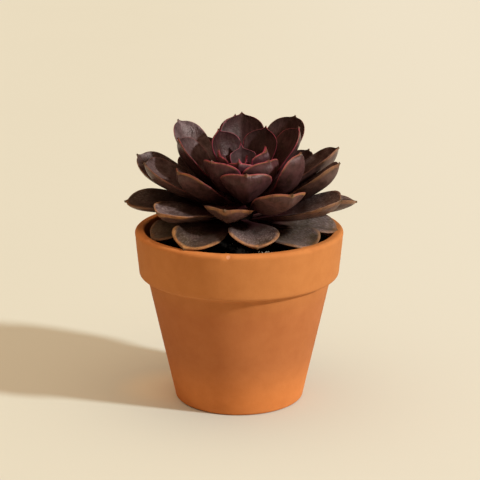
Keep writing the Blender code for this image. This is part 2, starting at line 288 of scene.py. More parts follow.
# Camera and light
CAMERA_TARGET = (0.00043, 0.0, 0.0819)
CAMERA_DISTANCE = 0.800
CAMERA_PITCH = 15.6
CAMERA_LENS = 118.9
SENSOR_WIDTH = 36.0
SUN_AZIMUTH = -23.5
SUN_HEIGHT = 31.0
SUN_ANGLE = 5.0
SUN_STRENGTH = 2.90
SUN_COLOR = (0.93, 1.0, 0.99)
DOME_COLOR = (1.0, 0.74, 0.51)
DOME_LOW = 0.04
DOME_HIGH = 1.93
DOME_POWER = 2.6

# Floor, a little lighter towards the right, with a painted patch of warm bounce light beside the pot on its
# shadow side
FLOOR_SIZE = 60.0
FLOOR_COLOR = (0.64, 0.65, 0.58)
FLOOR_DARKEST = 0.985
FLOOR_RIGHT_COLOR = (0.665, 0.685, 0.64)
PAINTED_BOUNCE_COLOR = (0.78, 0.74, 0.61)
PAINTED_BOUNCE_PLACE = (-0.036, 0.006, 0.0)
PAINTED_BOUNCE_CORE = 0.010
PAINTED_BOUNCE_REACH = 0.034


def new_material(name):
    material = bpy.data.materials.new(name)
    material.use_nodes = True
    return material, material.node_tree, material.node_tree.nodes["Principled BSDF"]


def connect(tree, value, socket):
    """Links a socket, or sets a number or colour."""
    if isinstance(value, bpy.types.NodeSocket):
        tree.links.new(value, socket)
    elif isinstance(value, (tuple, list)) and len(value) == 3 and socket.type == "RGBA":
        socket.default_value = (*value, 1.0)
    else:
        socket.default_value = value


def attribute(tree, name):
    found = tree.nodes.new("ShaderNodeAttribute")
    found.attribute_name = name
    return found


def object_place(tree):
    return tree.nodes.new("ShaderNodeTexCoord").outputs["Object"]


def noise_at(tree, place, scale, detail=3.0, roughness=0.55):
    """Smooth noise of about 0 to 1, with its scale per metre or per unit of the place given."""
    texture = tree.nodes.new("ShaderNodeTexNoise")
    texture.inputs["Scale"].default_value = scale
    texture.inputs["Detail"].default_value = detail
    texture.inputs["Roughness"].default_value = roughness
    connect(tree, place, texture.inputs["Vector"])
    return texture.outputs["Fac"]


def coordinate(tree, place, axis):
    parts = tree.nodes.new("ShaderNodeSeparateXYZ")
    connect(tree, place, parts.inputs["Vector"])
    return parts.outputs[axis]


def distance_to(tree, place, point):
    apart = tree.nodes.new("ShaderNodeVectorMath")
    apart.operation = "DISTANCE"
    connect(tree, place, apart.inputs[0])
    apart.inputs[1].default_value = point
    return apart.outputs["Value"]


def calculate(tree, operation, first, second=0.0, clamp=False):
    step = tree.nodes.new("ShaderNodeMath")
    step.operation = operation
    step.use_clamp = clamp
    connect(tree, first, step.inputs[0])
    connect(tree, second, step.inputs[1])
    return step.outputs["Value"]


def combine(tree, operation, values):
    """Adds or multiplies several values, one after the other."""
    result = values[0]
    for value in values[1:]:
        result = calculate(tree, operation, result, value)
    return result


def product(tree, *values):
    return combine(tree, "MULTIPLY", values)


def total(tree, *values):
    return combine(tree, "ADD", values)


def remap(tree, value, low, high, to_low=0.0, to_high=1.0, smooth=False):
    step = tree.nodes.new("ShaderNodeMapRange")
    step.interpolation_type = "SMOOTHSTEP" if smooth else "LINEAR"
    connect(tree, value, step.inputs["Value"])
    step.inputs["From Min"].default_value = low
    step.inputs["From Max"].default_value = high
    step.inputs["To Min"].default_value = to_low
    step.inputs["To Max"].default_value = to_high
    return step.outputs["Result"]


def mix_value(tree, share, first, second):
    step = tree.nodes.new("ShaderNodeMix")
    connect(tree, share, step.inputs[0])
    connect(tree, first, step.inputs[2])
    connect(tree, second, step.inputs[3])
    return step.outputs[0]


def mix(tree, share, first, second, blend="MIX"):
    step = tree.nodes.new("ShaderNodeMix")
    step.data_type = "RGBA"
    step.blend_type = blend
    connect(tree, share, step.inputs[0])
    connect(tree, first, step.inputs[6])
    connect(tree, second, step.inputs[7])
    return step.outputs[2]


def bump(tree, height, distance, strength=1.0):
    step = tree.nodes.new("ShaderNodeBump")
    step.inputs["Strength"].default_value = strength
    step.inputs["Distance"].default_value = distance
    connect(tree, height, step.inputs["Height"])
    return step.outputs["Normal"]


def clay_material():
    """Unglazed terracotta: even orange clay with soft blotches, fine sand grain, small pores and a chip, with
    painted bounce light at the foot, painted shade on the wall and painted light on the rim.
    """
    material, tree, shader = new_material("fired_clay_looks")
    place = object_place(tree)
    blotch = noise_at(tree, place, 38.0, 4.0, 0.6)
    cloud = noise_at(tree, place, 150.0, 4.0, 0.6)
    grain = noise_at(tree, place, 2600.0, 3.0, 0.6)
    sand = noise_at(tree, place, 900.0, 4.0, 0.7)
    color = mix(tree, remap(tree, blotch, 0.3, 0.7), CLAY_DARK, CLAY_LIGHT)
    color = mix(tree, remap(tree, cloud, 0.35, 0.75, 0.0, 0.35), color, CLAY_CLOUD)
    color = mix(tree, remap(tree, grain, 0.62, 0.75, 0.0, 0.35), color, CLAY_PORE)
    height = coordinate(tree, place, "Z")
    # painted light and shade by height: lighter at the foot for bounce from the floor, darker on the wall,
    # lighter on the rim
    painted_light_by_height = mix(tree, remap(tree, height, 0.004, 0.030, smooth=True), FOOT_PAINTED_BOUNCE, WALL_PAINTED_SHADE)
    painted_light_by_height = mix(tree, remap(tree, height, 0.050, 0.070, smooth=True), painted_light_by_height, RIM_PAINTED_LIGHT)
    color = mix(tree, 1.0, color, painted_light_by_height, "MULTIPLY")
    from_chip = distance_to(tree, place, CHIP_PLACE)
    chip = remap(tree, from_chip, CHIP_REACH / 2, CHIP_REACH, 1.0, 0.0, True)
    connect(tree, mix(tree, chip, color, CHIP_COLOR), shader.inputs["Base Color"])
    connect(tree, remap(tree, sand, 0.3, 0.7, 0.78, 0.92), shader.inputs["Roughness"])
    shader.inputs["Specular IOR Level"].default_value = 0.25
    relief = total(tree, product(tree, grain, 0.5), sand)
    connect(tree, bump(tree, relief, 0.00012, 0.5), shader.inputs["Normal"])
    return material


def soil_material():
    """Moist dark potting soil with fine brown fibre in it."""
    material, tree, shader = new_material("potting_soil_looks")
    place = object_place(tree)
    lumps = noise_at(tree, place, 700.0, 5.0, 0.65)
    fibre = noise_at(tree, place, 2300.0, 3.0, 0.6)
    color = mix(tree, remap(tree, lumps, 0.35, 0.7), *SOIL_COLORS)
    color = mix(tree, remap(tree, fibre, 0.66, 0.74, 0.0, 0.5), color, SOIL_FIBRE_COLOR)
    connect(tree, color, shader.inputs["Base Color"])
    shader.inputs["Roughness"].default_value = 0.95
    shader.inputs["Specular IOR Level"].default_value = 0.2
    connect(tree, bump(tree, lumps, 0.0006, 0.9), shader.inputs["Normal"])
    return material


def perlite_material():
    """Small pale grains and fibres on the soil."""
    material, tree, shader = new_material("soil_grain_looks")
    place = object_place(tree)
    mottle = noise_at(tree, place, 1800.0, 3.0, 0.6)
    color = mix(tree, remap(tree, mottle, 0.35, 0.65), *GRAIN_COLORS)
    connect(tree, color, shader.inputs["Base Color"])
    shader.inputs["Roughness"].default_value = 0.9
    connect(tree, bump(tree, mottle, 0.0002, 0.8), shader.inputs["Normal"])
    return material


def stem_material():
    """Corky stem with old leaf scars, near black: partly its own brown bark, partly painted shade under the
    leaves.
    """
    material, tree, shader = new_material("stem_bark_looks")
    place = object_place(tree)
    cork = noise_at(tree, place, 900.0, 5.0, 0.65)
    # bark near black: partly its own colour, partly painted shade under the leaves
    color = mix(tree, remap(tree, cork, 0.35, 0.7), *BARK_AND_SHADE_COLORS)
    connect(tree, color, shader.inputs["Base Color"])
    shader.inputs["Roughness"].default_value = 0.9
    shader.inputs["Specular IOR Level"].default_value = 0.1
    connect(tree, bump(tree, cork, 0.0005, 0.8), shader.inputs["Normal"])
    return material


def leaf_signals(tree):
    """What a leaf's colours go by: values kept at its vertices, and noise over the plant and each blade."""
    names = ("age", "under", "margin", "tipward", "ochre", "bloom_and_sheen")
    leaf = {name: attribute(tree, name).outputs["Fac"] for name in names}
    leaf["upper"] = calculate(tree, "SUBTRACT", 1.0, leaf["under"], True)
    place = object_place(tree)
    leaf["mottle"] = noise_at(tree, place, 260.0, 4.0, 0.6)
    leaf["speck"] = noise_at(tree, place, 2400.0, 2.0, 0.5)
    leaf["dust"] = noise_at(tree, place, 90.0, 4.0, 0.65)
    blade = attribute(tree, "blade").outputs["Vector"]
    leaf["streak"] = noise_at(tree, blade, 0.55, 3.0, 0.6)
    leaf["scratch"] = noise_at(tree, blade, 2.2, 3.0, 0.7)
    return leaf


def skin_color(tree, leaf):
    """A dark upper face and a lighter back, browner with age, mottled, streaked, and darkened to crimson
    towards the seat, partly the leaf's own colour and partly painted shade deep in the rosette.
    """
    age = leaf["age"]
    top = mix(tree, age, YOUNG_TOP, OLD_TOP)
    top = mix(tree, remap(tree, age, 0.862, 0.880), top, OUTERMOST_TOP)
    outer_tip = product(tree, remap(tree, age, 0.68, 0.92), remap(tree, leaf["tipward"], 0.76, 0.97))
    top = mix(tree, outer_tip, top, OUTER_TIP)
    back = mix(tree, age, YOUNG_BACK, OLD_BACK)
    color = mix(tree, leaf["under"], top, back)
    color = mix(tree, remap(tree, leaf["mottle"], 0.38, 0.66, 0.0, 0.65), color, MOTTLE_COLOR)
    color = mix(tree, remap(tree, leaf["streak"], 0.45, 0.70, 0.0, 0.30), color, STREAK_COLOR)
    # darker crimson towards the seat: partly the leaf's own colour, partly painted shade deep in the rosette
    return mix(tree, remap(tree, leaf["tipward"], 0.20, 0.62, 0.75, 0.0, True), color, SEAT_CRIMSON_AND_SHADE)


def with_dust(tree, leaf, color):
    """Dry dust in broken patches on the upper face of the older leaves."""
    dust = product(
        tree,
        remap(tree, leaf["scratch"], 0.50, 0.62),
        remap(tree, leaf["dust"], 0.36, 0.54),
        remap(tree, leaf["tipward"], 0.35, 0.85),
        remap(tree, leaf["bloom_and_sheen"], 0.0, 0.8, 0.15, 0.8),
        remap(tree, leaf["age"], 0.35, 0.75),
        leaf["upper"],
    )
    return mix(tree, dust, color, DUST_COLOR)


def with_ochre_edge(tree, leaf, color):
    """A worn ochre band along the margin towards the tip, on the back, and on both faces of old leaves."""
    width_mm = remap(tree, leaf["age"], 0.30, 1.0, 0.9, 3.4)
    nearness = calculate(tree, "SUBTRACT", 1.0, calculate(tree, "DIVIDE", leaf["margin"], width_mm), True)
    face = calculate(tree, "MAXIMUM", leaf["under"], remap(tree, leaf["age"], 0.60, 0.72, 0.0, 0.75))
    band = product(tree, nearness, face, remap(tree, leaf["tipward"], 0.68, 0.93))
    band = remap(tree, total(tree, band, product(tree, leaf["mottle"], 0.35)), 0.22, 0.52)
    ochre = mix(tree, remap(tree, leaf["mottle"], 0.35, 0.65), *OCHRE_COLORS)
    share = product(tree, band, leaf["ochre"], remap(tree, leaf["streak"], 0.38, 0.58, 0.5, 1.0))
    return mix(tree, share, color, ochre)


def with_rim(tree, leaf, color):
    """A thin line on the margin, crimson on young leaves and brown on old ones, and a brown point."""
    age = leaf["age"]
    margin = total(tree, leaf["margin"], product(tree, leaf["mottle"], 0.5))
    line = remap(tree, margin, 0.28, 0.74, 1.0, 0.0, True)
    young_reach = remap(tree, leaf["tipward"], 0.10, 0.5, 0.25, 0.85)
    old_reach = remap(tree, leaf["tipward"], 0.55, 0.92, 0.05, 0.85)
    reach = mix_value(tree, remap(tree, age, 0.55, 0.85), young_reach, old_reach)
    breaks = remap(tree, leaf["streak"], 0.35, 0.60, 0.35, 1.0)
    old_strength = remap(tree, leaf["ochre"], 0.0, 1.0, 0.35, 1.0)
    strength = mix_value(tree, remap(tree, age, 0.35, 0.6), 1.0, old_strength)
    rim_color = mix(tree, remap(tree, age, 0.15, 0.65), YOUNG_RIM, OLD_RIM)
    color = mix(tree, product(tree, line, reach, breaks, strength), color, rim_color)
    return mix(tree, remap(tree, leaf["tipward"], 0.965, 0.99, 0.0, 0.8), color, TIP_COLOR)


def with_bloom_and_sheen(tree, leaf, color):
    """Pale waxy bloom patches on the upper face, which on the sun-facing inner leaves are also painted sheen,
    and fine pale specks all over.
    """
    # pale patches: real bloom, and on the sun-facing inner leaves also painted sheen
    patches = product(
        tree,
        remap(tree, leaf["dust"], 0.36, 0.58),
        remap(tree, leaf["scratch"], 0.30, 0.62, 0.35, 1.0),
        remap(tree, leaf["tipward"], 0.40, 0.75, 0.1, 1.0),
        leaf["bloom_and_sheen"],
        leaf["upper"],
        0.75,
    )
    color = mix(tree, patches, color, BLOOM_AND_SHEEN_COLOR)
    aged = remap(tree, leaf["age"], 0.3, 0.7, 0.15, 1.0)
    specks = product(tree, remap(tree, leaf["speck"], 0.66, 0.74, 0.0, 0.45), aged)
    return mix(tree, specks, color, SPECK_COLOR)


def leaf_gloss(tree, leaf):
    """Waxy, duller where dusty and on the youngest and the oldest leaves."""
    dusty = remap(tree, leaf["dust"], 0.35, 0.75, 0.33, 0.50)
    youngest = remap(tree, leaf["age"], 0.0, 0.2, 0.10, 0.0)
    oldest = remap(tree, leaf["age"], 0.55, 0.85, 0.0, 0.14)
    return total(tree, dusty, youngest, oldest)


def leaf_relief(tree, leaf):
    speck = product(tree, leaf["speck"], 0.12)
    streak = product(tree, leaf["streak"], 0.35)
    scratch = product(tree, leaf["scratch"], 0.10)
    return total(tree, leaf["mottle"], speck, streak, scratch)


def leaf_material():
    """Dark waxy leaf skin, whose colours follow a leaf's age, its faces and the distance to its margin."""
    material, tree, shader = new_material("leaf_skin_looks")
    leaf = leaf_signals(tree)
    color = skin_color(tree, leaf)
    for add_layer in (with_dust, with_ochre_edge, with_rim, with_bloom_and_sheen):
        color = add_layer(tree, leaf, color)
    connect(tree, color, shader.inputs["Base Color"])
    connect(tree, leaf_gloss(tree, leaf), shader.inputs["Roughness"])
    shader.inputs["Specular Tint"].default_value = SHEEN_TINT
    shader.inputs["Specular IOR Level"].default_value = 0.26
    connect(tree, bump(tree, leaf_relief(tree, leaf), 0.00065, 0.6), shader.inputs["Normal"])
    return material


def floor_material():
    """Plain cream paper, almost even, with a painted patch of warm bounce light beside the pot."""
    material, tree, shader = new_material("paper_floor_looks")
    place = object_place(tree)
    tooth = noise_at(tree, place, 6.0, 3.0, 0.5)
    darkest = tuple(FLOOR_DARKEST * channel for channel in FLOOR_COLOR)
    color = mix(tree, tooth, darkest, FLOOR_COLOR)
    rightward = remap(tree, coordinate(tree, place, "X"), -0.20, 0.30, 0.0, 1.0, True)
    color = mix(tree, rightward, color, FLOOR_RIGHT_COLOR)
    # painted bounce light: a warm, lighter patch on the floor in the pot's shadow
    painted_bounce = remap(tree, distance_to(tree, place, PAINTED_BOUNCE_PLACE), PAINTED_BOUNCE_CORE, PAINTED_BOUNCE_REACH, 1.0, 0.0, True)
    connect(tree, mix(tree, painted_bounce, color, PAINTED_BOUNCE_COLOR), shader.inputs["Base Color"])
    shader.inputs["Roughness"].default_value = 1.0
    shader.inputs["Specular IOR Level"].default_value = 0.0
    return material


def mesh_object(name, vertices, faces, material):
    mesh = bpy.data.meshes.new(name)
    mesh.from_pydata([tuple(v) for v in vertices], [], faces)
    mesh.materials.append(material)
    thing = bpy.data.objects.new(name, mesh)
    bpy.context.scene.collection.objects.link(thing)
    return thing


def add_piece(name, vertices, faces, material, node):
    """Makes a smooth mesh that rides on the part's one body and stands for a CAD node."""
    piece = mesh_object(name, vertices, faces, material)
    piece.data.shade_smooth()
    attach(piece, "root")
    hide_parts(node)
    return piece


def keep_values(piece, name, values):
    """Stores one number, or one vector, for each vertex."""
    kind = "FLOAT" if np.ndim(values) == 1 else "FLOAT_VECTOR"
    found = piece.data.attributes.new(name, kind, "POINT")
    field = "value" if kind == "FLOAT" else "vector"
    found.data.foreach_set(field, np.asarray(values, dtype=np.float32).ravel())


def ring_faces(rings, across, first_pole=None, last_pole=None, start=0):
    """Quads between rings of vertices that follow each other, and triangles to a pole at an end."""
    faces = []
    for ring in range(rings - 1):
        here = start + ring * across
        there = here + across
        for i in range(across):
            j = (i + 1) % across
            faces.append((here + i, here + j, there + j, there + i))
    if first_pole is not None:
        faces += [(first_pole, start + (i + 1) % across, start + i) for i in range(across)]
    if last_pole is not None:
        last = start + (rings - 1) * across
        faces += [(last + i, last + (i + 1) % across, last_pole) for i in range(across)]
    return faces


def polar(r, azimuth, z):
    """A point at a distance from the pot's axis, with its azimuth in radians."""
    return Vector((r * math.cos(azimuth), r * math.sin(azimuth), z))


def axis_x(z):
    """How far the stem's axis has leaned towards +X at this height."""
    rise = max(0.0, z - SOIL_CROWN_HEIGHT) / (STEM_TOP - SOIL_CROWN_HEIGHT)
    return STEM_LEAN * rise**2


def stem_radius(z):
    taper = max(0.0, (z - STEM_TAPER_START) / (STEM_TOP - STEM_TAPER_START))
    return STEM_RADIUS * (1.0 - (1.0 - STEM_TOP_SHARE) * taper**1.5)


def between(young, old, share):
    return young + (old - young) * share


def half_width(s, width, roundness):
    """The blade is widest well past its middle and ends in a fine point, and gets rounder with age."""
    youth = max(0.0, 1 - width / FULL_WIDTH)
    growing = BASE_WIDTH + (1 - BASE_WIDTH) * np.sin(np.pi / 2 * np.minimum(1.0, s / WIDEST_AT)) ** 1.8
    blade_end = BLADE_END - YOUNG_POINT * youth - YOUNG_SPIKE * (1 - roundness)
    past = np.clip((s - WIDEST_AT) / (blade_end - WIDEST_AT), 0.0, 1.0)
    arch = between(YOUNG_ARCH, OLD_ARCH, roundness)
    round_part = (1 - past**arch) ** (between(YOUNG_CLOSING, OLD_CLOSING, roundness) + 1.5 * youth)
    point_part = POINT_WIDTH * np.minimum(1.0, (1 - s) / (1 - blade_end)) ** 1.5
    closing = (round_part**2.5 + point_part**2.5) ** (1 / 2.5)
    return width / 2 * np.where(s < WIDEST_AT, growing, np.minimum(1.0, closing))


def leaf_thickness(s, width):
    """Fleshy in the middle, thinner at the seat and towards the tip."""
    body = 0.36 + 0.64 * np.sin(np.pi / 2 * np.minimum(1.0, s / 0.55)) ** 1.5
    end = np.maximum(0.0, 1 - np.maximum(0.0, (s - WIDEST_AT) / (1 - WIDEST_AT)) ** 2.0) ** 0.6
    return np.maximum(LEAST_THICKNESS, THICKNESS * width * body * end)


def leaf_spine(azimuth, reach, height, curl, seat_z, seat_reach):
    """Start, bend and end points of a leaf's middle line, and the direction across it."""
    out = Vector((math.cos(azimuth), math.sin(azimuth), 0.0))
    axis = Vector((axis_x(seat_z), 0.0, 0.0))
    seat = axis + out * seat_reach + Vector((0.0, 0.0, seat_z))
    tip = axis + out * reach + Vector((0.0, 0.0, height))
    chord = tip - seat
    side = Vector((-out.y, out.x, 0.0))
    down = side.cross(chord).normalized()
    bend = seat + chord * 0.5 + down * (curl * chord.length)
    return np.array(seat), np.array(bend), np.array(tip), np.array(side)


def blade_section():
    """Points round the blade's section, as shares of its half width, and which of them are underneath."""
    angle = np.linspace(0.0, np.pi, LEAF_ACROSS + 1)
    top = -np.cos(angle)
    low = np.cos(angle)[1:-1]
    return np.concatenate([top, low]), np.concatenate([np.zeros(len(top)), np.ones(len(low))])


def blade_height(S, V, low, half, thick, cup_share, age):
    """How high each vertex stands over the blade's middle line, and how far it is into the rounded margin."""
    edge = np.minimum(np.interp(age, ROUND_AGES, EDGE_ROUNDS), 0.5 * thick)
    near_edge = np.minimum(0.5, EDGE_REACH * edge / half)
    shoulder = np.clip((np.abs(V) - (1 - near_edge)) / near_edge, 0, 1) ** 2
    belly = np.maximum(0.0, 1 - np.abs(V) ** 1.6) ** 0.7
    bowl = cup_share * half * np.abs(V) ** CUP_POWER
    middle = np.exp(-np.abs(V) / RIDGE_WIDTH) * np.minimum(1.0, half / RIDGE_FULL_AT)
    groove = LEAF_GROOVE * middle * np.sin(np.pi * S)
    keel = LEAF_KEEL * middle * np.sin(np.pi * S) ** 0.7
    top_z = bowl - edge * shoulder - groove
    low_z = bowl - edge - (thick - edge) * belly - keel
    return np.where(low > 0.5, low_z, top_z), shoulder


def blade_waves(S, V, seed):
    """Slight waves: sideways for the whole blade, and up and down at its margins."""
    phase = np.random.default_rng(seed).uniform(0, 2 * np.pi, 4)
    ripple = np.sin(S * 9 + phase[0]) * 0.5 + np.sin(S * 17 + 3 * np.sign(V) + phase[1]) * 0.5
    ripple = RIPPLE * ripple * np.abs(V) ** 2 * np.sin(np.pi * S) ** 0.5
    sway = SWAY * (np.sin(S * 7 + phase[2]) + np.sin(S * 13 + phase[3])) * np.sin(np.pi * S)
    return sway, ripple


def along_spine(seat, bend, tip, side, s, roll):
    """Points of the leaf's middle line, and the directions across the blade and over it at each."""
    share = s[:, None]
    center = seat * (1 - share) ** 2 + bend * (2 * share * (1 - share)) + tip * share**2
    along = (bend - seat) * (1 - share) + (tip - bend) * share
    along /= np.linalg.norm(along, axis=1)[:, None]
    up = np.cross(along, side)
    turn = np.radians(roll) * np.minimum(1.0, 2 * share)
    across = side * np.cos(turn) + up * np.sin(turn)
    over = up * np.cos(turn) - side * np.sin(turn)
    return center, across, over


def blade_values(S, V, X, low, shoulder, half, length, seed):
    """What the material reads at each vertex, and last at the tip and the seat."""
    margin = np.minimum(half * (1 - np.abs(V)), (1 - S) * length * END_MARGIN) / MM
    pattern_length = length / MM * PATTERN_STRETCH
    pattern_place = PATTERN_APART * seed
    blade = np.stack([X / MM, S * pattern_length, np.full_like(S, pattern_place)], axis=-1)
    ends = [[0.0, pattern_length, pattern_place], [0.0, 0.0, pattern_place]]
    return {
        "margin": np.append(margin.ravel(), [0.0, SEAT_MARGIN]),
        "under": np.append(np.clip(low + shoulder * 0.5, 0, 1).ravel(), [0.5, 0.5]),
        "tipward": np.append(S.ravel(), [1.0, 0.0]),
        "blade": np.concatenate([blade.reshape(-1, 3), ends]),
    }


def leaf_shape(row, seat_reach, seed, age, roundness):
    """Vertices and faces of one leaf, with what its material needs at each vertex."""
    azimuth, seat_z, reach, height, width, curl, roll = row
    seat, bend, tip, side = leaf_spine(math.radians(azimuth), reach, height, curl, seat_z, seat_reach)
    length = np.linalg.norm(tip - seat)
    rise = max(0.0, (tip - seat)[2] / length)
    cup_share = FLAT_CUP + (STEEP_CUP - FLAT_CUP) * rise
    tip_lift = np.interp(age, LIFT_AGES, TIP_LIFTS) * min(1.0, width / FULL_WIDTH)

    s = 1 - (1 - np.linspace(0.0, 1.0, LEAF_STATIONS + 1)[:-1]) ** CROWDING
    v, is_low = blade_section()
    S, V = np.meshgrid(s, v, indexing="ij")
    low = np.tile(is_low, (len(s), 1))
    half = half_width(s, width, roundness)[:, None]
    thick = leaf_thickness(s, width)[:, None]
    sway, ripple = blade_waves(S, V, seed)
    X = half * V + sway
    Z, shoulder = blade_height(S, V, low, half, thick, cup_share, age)
    Z = Z + ripple + tip_lift * np.maximum(0.0, (S - TIP_LIFT_START) / (1 - TIP_LIFT_START)) ** 1.7

    center, across, over = along_spine(seat, bend, tip, side, s, roll)
    points = center[:, None] + across[:, None] * X[..., None] + over[:, None] * Z[..., None]
    end = tip + over[-1] * tip_lift
    vertices = np.concatenate([points.reshape(-1, 3), [end, seat]])
    end_index = len(vertices) - 2
    faces = ring_faces(len(s), len(v), first_pole=end_index + 1, last_pole=end_index)
    return vertices, faces, blade_values(S, V, X, low, shoulder, half, length, seed)


def keep_leaf_values(piece, values, age, ochre=USUAL_OCHRE, bloom_and_sheen=USUAL_BLOOM):
    for name, found in values.items():
        keep_values(piece, name, found)
    count = len(piece.data.vertices)
    for name, value in (("age", age), ("ochre", ochre), ("bloom_and_sheen", bloom_and_sheen)):
        keep_values(piece, name, np.full(count, value))


def build_leaves(material):
    for number, row in enumerate(LEAVES, start=1):
        age = (number - 1) / (len(LEAVES) - 1)
        seat_reach = stem_radius(row[1]) + SEAT_GAP
        roundness = min(1.0, number / ROUND_BY)
        vertices, faces, values = leaf_shape(row, seat_reach, number, age, roundness)
        piece = add_piece(f"blade_{number:02d}", vertices, faces, material, f"leaf_{number:02d}")
        ochre = OCHRE_EDGES.get(number, USUAL_OCHRE)
        keep_leaf_values(piece, values, age, ochre, BLOOM_AND_SHEEN.get(number, USUAL_BLOOM))


def heart_core():
    """The bud in the middle, as closed rings, with its values for the leaf material."""
    center = axis_x(STEM_TOP)
    turn = np.linspace(0, 2 * np.pi, HEART_SEGMENTS, endpoint=False)
    rings = [
        np.stack([center + r * np.cos(turn), r * np.sin(turn), np.full(HEART_SEGMENTS, z)], axis=1)
        for r, z in HEART_CORE
    ]
    vertices = np.concatenate([*rings, [[center, 0.0, HEART_CORE[0][1]], [center, 0.0, HEART_TOP]]])
    count = len(vertices)
    faces = ring_faces(len(HEART_CORE), HEART_SEGMENTS, count - 2, count - 1)
    values = {
        "margin": np.full(count, HEART_MARGIN),
        "under": np.full(count, 1.0),
        "tipward": np.full(count, HEART_TIPWARD),
        "blade": np.zeros((count, 3)),
    }
    return vertices, faces, values


def build_heart(material):
    """The growing tip: a small bud with the youngest leaves around it, in one mesh."""
    shapes = [heart_core()]
    for number, row in enumerate(HEART_LEAVES):
        shapes.append(leaf_shape(row, HEART_SEAT, HEART_SEED + number, 0.0, 0.0))
    faces = []
    start = 0
    for vertices, own_faces, _ in shapes:
        faces += [tuple(i + start for i in face) for face in own_faces]
        start += len(vertices)
    vertices = np.concatenate([shape[0] for shape in shapes])
    values = {name: np.concatenate([shape[2][name] for shape in shapes]) for name in shapes[0][2]}
    piece = add_piece("heart_bud", vertices, faces, material, "heart")
    keep_leaf_values(piece, values, 0.0)


def arc(center_r, center_z, radius, start, end, steps):
    """Points of a round corner in the (r, z) plane, angles in degrees."""
    angles = np.radians(np.linspace(start, end, steps + 1))
    return [(center_r + radius * math.cos(a), center_z + radius * math.sin(a)) for a in angles]


def pot_outline():
    """The pot's wall in section, from the drain hole round the outside and back down the inside."""
    rim_foot = POT_HEIGHT - RIM_HEIGHT
    points = [(DRAIN_RADIUS, 0.0)]
    points += arc(BASE_RADIUS - FOOT_ROUND, FOOT_ROUND, FOOT_ROUND, -90, -12, 8)
    points.append((NECK_RADIUS - NECK_ROUND * 0.5, rim_foot - NECK_ROUND * 1.5))
    points += arc(NECK_RADIUS + NECK_ROUND * 0.75, rim_foot - NECK_ROUND, NECK_ROUND, 180, 100, 4)
    points += arc(RIM_FOOT_RADIUS - RIM_ROUND, rim_foot + RIM_ROUND, RIM_ROUND, -80, -5, 10)
    points += arc(RIM_RADIUS - RIM_ROUND, POT_HEIGHT - RIM_ROUND, RIM_ROUND, 5, 90, 10)
    points += arc(MOUTH_RADIUS + RIM_ROUND / 2, POT_HEIGHT - RIM_ROUND / 2, RIM_ROUND / 2, 90, 180, 6)
    points.append((MOUTH_RADIUS - MOUTH_TAPER, rim_foot + LEDGE_TOP))
    points.append((NECK_RADIUS - WALL_THICKNESS, rim_foot + LEDGE_BOTTOM))
    points.append((FLOOR_RADIUS, FLOOR_THICKNESS))
    points.append((DRAIN_RADIUS, FLOOR_THICKNESS))
    return points


def finer(outline, step):
    """Adds points to the outline's long straight stretches."""
    points = []
    for here, there in zip(outline, outline[1:] + outline[:1]):
        length = math.dist(here, there)
        pieces = max(1, round(length / step))
        for i in range(pieces):
            share = i / pieces
            points.append((here[0] + (there[0] - here[0]) * share, here[1] + (there[1] - here[1]) * share))
    return points


def worn_depth(place, r):
    """How far the clay lies inside its true turned shape: uneven pressing, turning marks and nicks."""
    depth = POT_UNEVENNESS * (0.5 + 0.5 * noise.noise(place * 45))
    depth += TURNING_DEPTH * (0.5 + 0.5 * math.sin(place.z / TURNING_PITCH + 2 * noise.noise(place * 30)))
    depth += GROOVE_DEPTH * math.exp(-(((place.z - GROOVE_HEIGHT) / GROOVE_WIDTH) ** 2))
    for nick_azimuth, nick_height, nick_size, nick_depth in NICKS:
        apart = (place - polar(r, math.radians(nick_azimuth), nick_height)).length
        depth += nick_depth * math.exp(-((apart / nick_size) ** 2))
    return depth


def build_pot():
    """The pot, turned finer than its solid, with the slight unevenness of pressed clay."""
    outline = finer(pot_outline(), POT_STEP)
    vertices = []
    for segment in range(POT_SEGMENTS):
        azimuth = 2 * math.pi * segment / POT_SEGMENTS
        for r, z in outline:
            place = polar(r, azimuth, z)
            above_foot = min(1.0, max(0.0, (z - FOOT_FLAT) / FOOT_FADE))
            scale = 1 - worn_depth(place, r) * above_foot / r
            vertices.append((place.x * scale, place.y * scale, z))
    count = len(outline)
    faces = []
    for segment in range(POT_SEGMENTS):
        here = segment * count
        there = (segment + 1) % POT_SEGMENTS * count
        for i in range(count):
            j = (i + 1) % count
            faces.append((here + i, there + i, there + j, here + j))
    add_piece("pot_clay", vertices, faces, clay_material(), "pot")


def soil_height(r, azimuth):
    """Mounded towards the stem, with lumps of two sizes."""
    edge = MOUTH_RADIUS - GAP
    mound = SOIL_EDGE_HEIGHT + (SOIL_CROWN_HEIGHT - SOIL_EDGE_HEIGHT) * (1 - (r / edge) ** 2)
    place = polar(r, azimuth, 0.0)
    lumps = noise.fractal(place * 260, 1.0, 2.0, 4) + 0.6 * noise.noise(place * 900)
    return mound - SOIL_SINK + SOIL_LUMP * lumps


